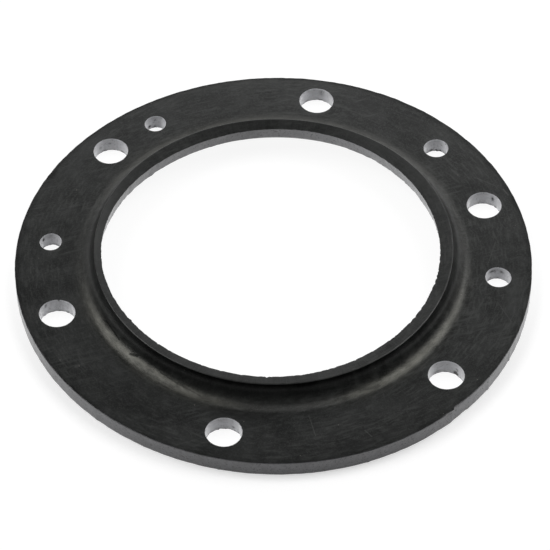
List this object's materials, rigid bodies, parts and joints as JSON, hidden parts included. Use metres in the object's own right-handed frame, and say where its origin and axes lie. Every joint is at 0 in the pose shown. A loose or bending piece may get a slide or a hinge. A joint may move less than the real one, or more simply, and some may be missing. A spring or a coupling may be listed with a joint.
{
  "type": "rubber flange gasket",
  "caption": "Flat black rubber flange ring formed up into a raised collar round its bore, with bolt holes and smaller side holes on one pitch circle.",
  "frame": {"origin": "centre of the outer rim, on the underside of the flange", "axes": "+Z through the bore towards the side with the raised collar; +X through the first bolt hole, the one that has a side hole on each hand"},
  "size_m": [0.16, 0.16, 0.0114],
  "materials": {
    "black_rubber": "matt moulded rubber, slightly sheened, with greyer die-cut faces at the rim, the bore and the holes"
  },
  "bodies": {
    "root": {"flange_gasket": "black_rubber"}
  },
  "joints": []
}
